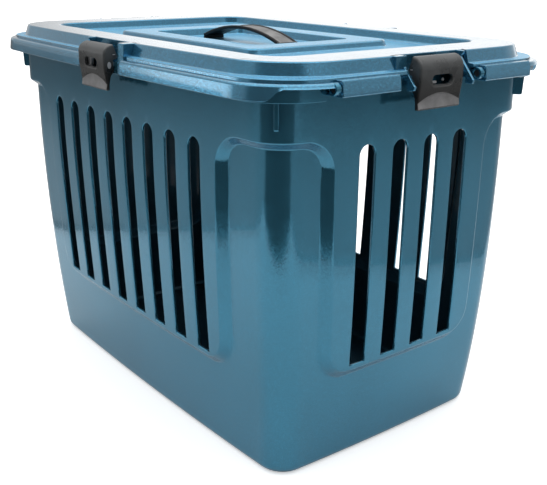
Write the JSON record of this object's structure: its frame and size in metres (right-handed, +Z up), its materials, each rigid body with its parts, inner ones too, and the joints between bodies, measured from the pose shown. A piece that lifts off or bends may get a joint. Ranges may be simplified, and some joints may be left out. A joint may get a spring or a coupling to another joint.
{
  "type": "pet carrier",
  "caption": "Rectangular plastic pet keeper: slotted tub, stepped lid on a slide-off hinge, rocking side clips and a lift-up strap handle.",
  "frame": {"origin": "middle of the base, on the surface that the keeper stands on", "axes": "+X along the length towards the hinge end, +Y across the width, +Z up"},
  "size_m": [0.522, 0.3532, 0.3696],
  "materials": {
    "tub_shell": "pearl gloss",
    "lid_shell": "pearl satin",
    "handle": "grained",
    "clips": "satin",
    "pins": "satin"
  },
  "bodies": {
    "tub_body": {"tub": "tub_shell", "hinge_pin_front": "pins", "hinge_pin_back": "pins"},
    "lid_body": {"lid": "lid_shell", "clip_pin_front": "pins", "clip_pin_back": "pins", "clip_pin_left": "pins", "clip_pin_hinge": "pins"},
    "handle_body": {"handle": "handle"},
    "clip_front_body": {"clip_front": "clips"},
    "clip_back_body": {"clip_back": "clips"},
    "clip_left_body": {"clip_left": "clips"},
    "clip_hinge_body": {"clip_hinge": "clips"}
  },
  "joints": [
    {"name": "lid_hinge", "type": "hinge", "parent": "tub_body", "child": "lid_body", "pos_m": [0.2546, 0, 0.345], "axis": [0, 1, 0], "range_deg": [0, 105]},
    {"name": "handle_lift", "type": "slide", "parent": "lid_body", "child": "handle_body", "axis": [0, 0, 1], "range_m": [0, 0.016]},
    {"name": "clip_front_swing", "type": "hinge", "parent": "lid_body", "child": "clip_front_body", "pos_m": [0, -0.1662, 0.3525], "axis": [-1, 0, 0], "range_deg": [0, 100]},
    {"name": "clip_back_swing", "type": "hinge", "parent": "lid_body", "child": "clip_back_body", "pos_m": [0, 0.1662, 0.3525], "axis": [1, 0, 0], "range_deg": [0, 100]},
    {"name": "clip_left_swing", "type": "hinge", "parent": "lid_body", "child": "clip_left_body", "pos_m": [-0.2506, 0, 0.3525], "axis": [0, 1, 0], "range_deg": [0, 100]},
    {"name": "clip_hinge_swing", "type": "hinge", "parent": "lid_body", "child": "clip_hinge_body", "pos_m": [0.2506, 0, 0.3525], "axis": [0, -1, 0], "range_deg": [0, 105]}
  ],
  "couplings": [
    {"joint": "clip_hinge_swing", "follows": "lid_hinge", "ratio": 1}
  ]
}
